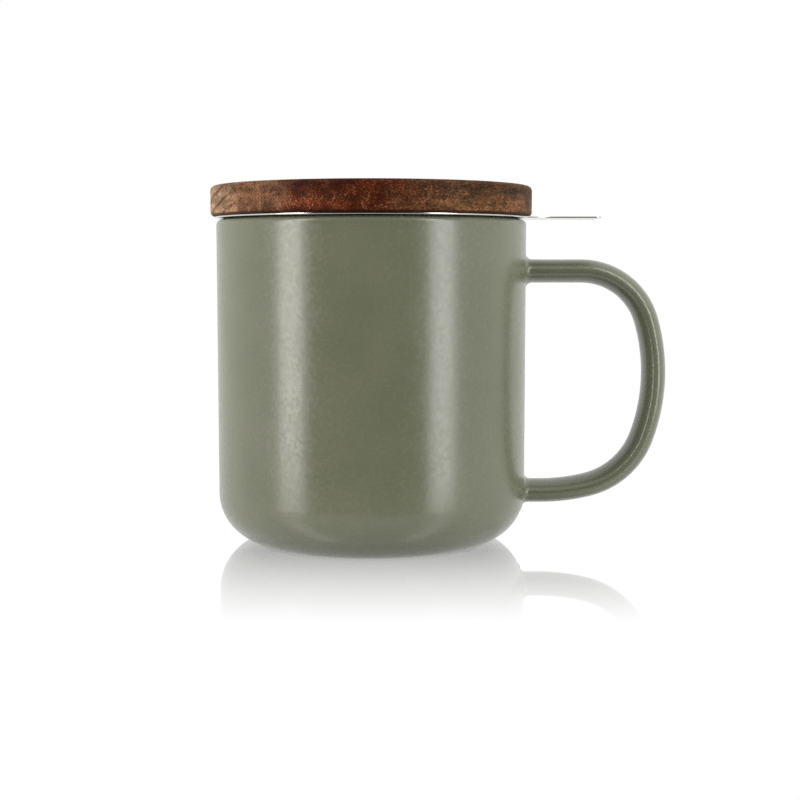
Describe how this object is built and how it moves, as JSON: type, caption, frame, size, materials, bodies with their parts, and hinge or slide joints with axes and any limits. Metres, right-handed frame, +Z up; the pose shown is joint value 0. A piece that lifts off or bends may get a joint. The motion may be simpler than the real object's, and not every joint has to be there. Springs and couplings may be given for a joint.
{
  "type": "lidded tea mug with lift-out infuser",
  "caption": "Straight-sided stoneware tea mug with a strap handle, a stainless basket infuser that hangs in the mouth by a flange with a lift tab, and a flat turned wooden lid.",
  "frame": {"origin": "the mug's vertical axis at the level of the table, in the middle of the foot ring", "axes": "+Z up, +X from the mug's axis towards the handle and the lift tab, +Y away from a right-handed drinker who has the handle on the right"},
  "size_m": [0.1255, 0.088, 0.0975],
  "materials": {
    "glazed_stoneware": "satin sage glaze with fine speckle, unglazed foot ring",
    "polished_stainless": "bright rolled sheet",
    "perforated_stainless": "perforated satin sheet",
    "acacia_wood": "oiled, fine open pores",
    "silicone": "matte translucent white"
  },
  "bodies": {
    "mug": {"mug_body": "glazed_stoneware", "mug_handle": "glazed_stoneware"},
    "infuser": {"infuser_flange": "polished_stainless", "infuser_wall": "perforated_stainless", "infuser_floor": "perforated_stainless"},
    "lid": {"lid_disc": "acacia_wood", "lid_seal": "silicone"}
  },
  "joints": [
    {"name": "infuser_lift", "type": "slide", "parent": "mug", "child": "infuser", "axis": [0, 0, 1], "range_m": [0, 0.085]},
    {"name": "lid_lift", "type": "slide", "parent": "infuser", "child": "lid", "axis": [0, 0, 1], "range_m": [0, 0.03]}
  ]
}
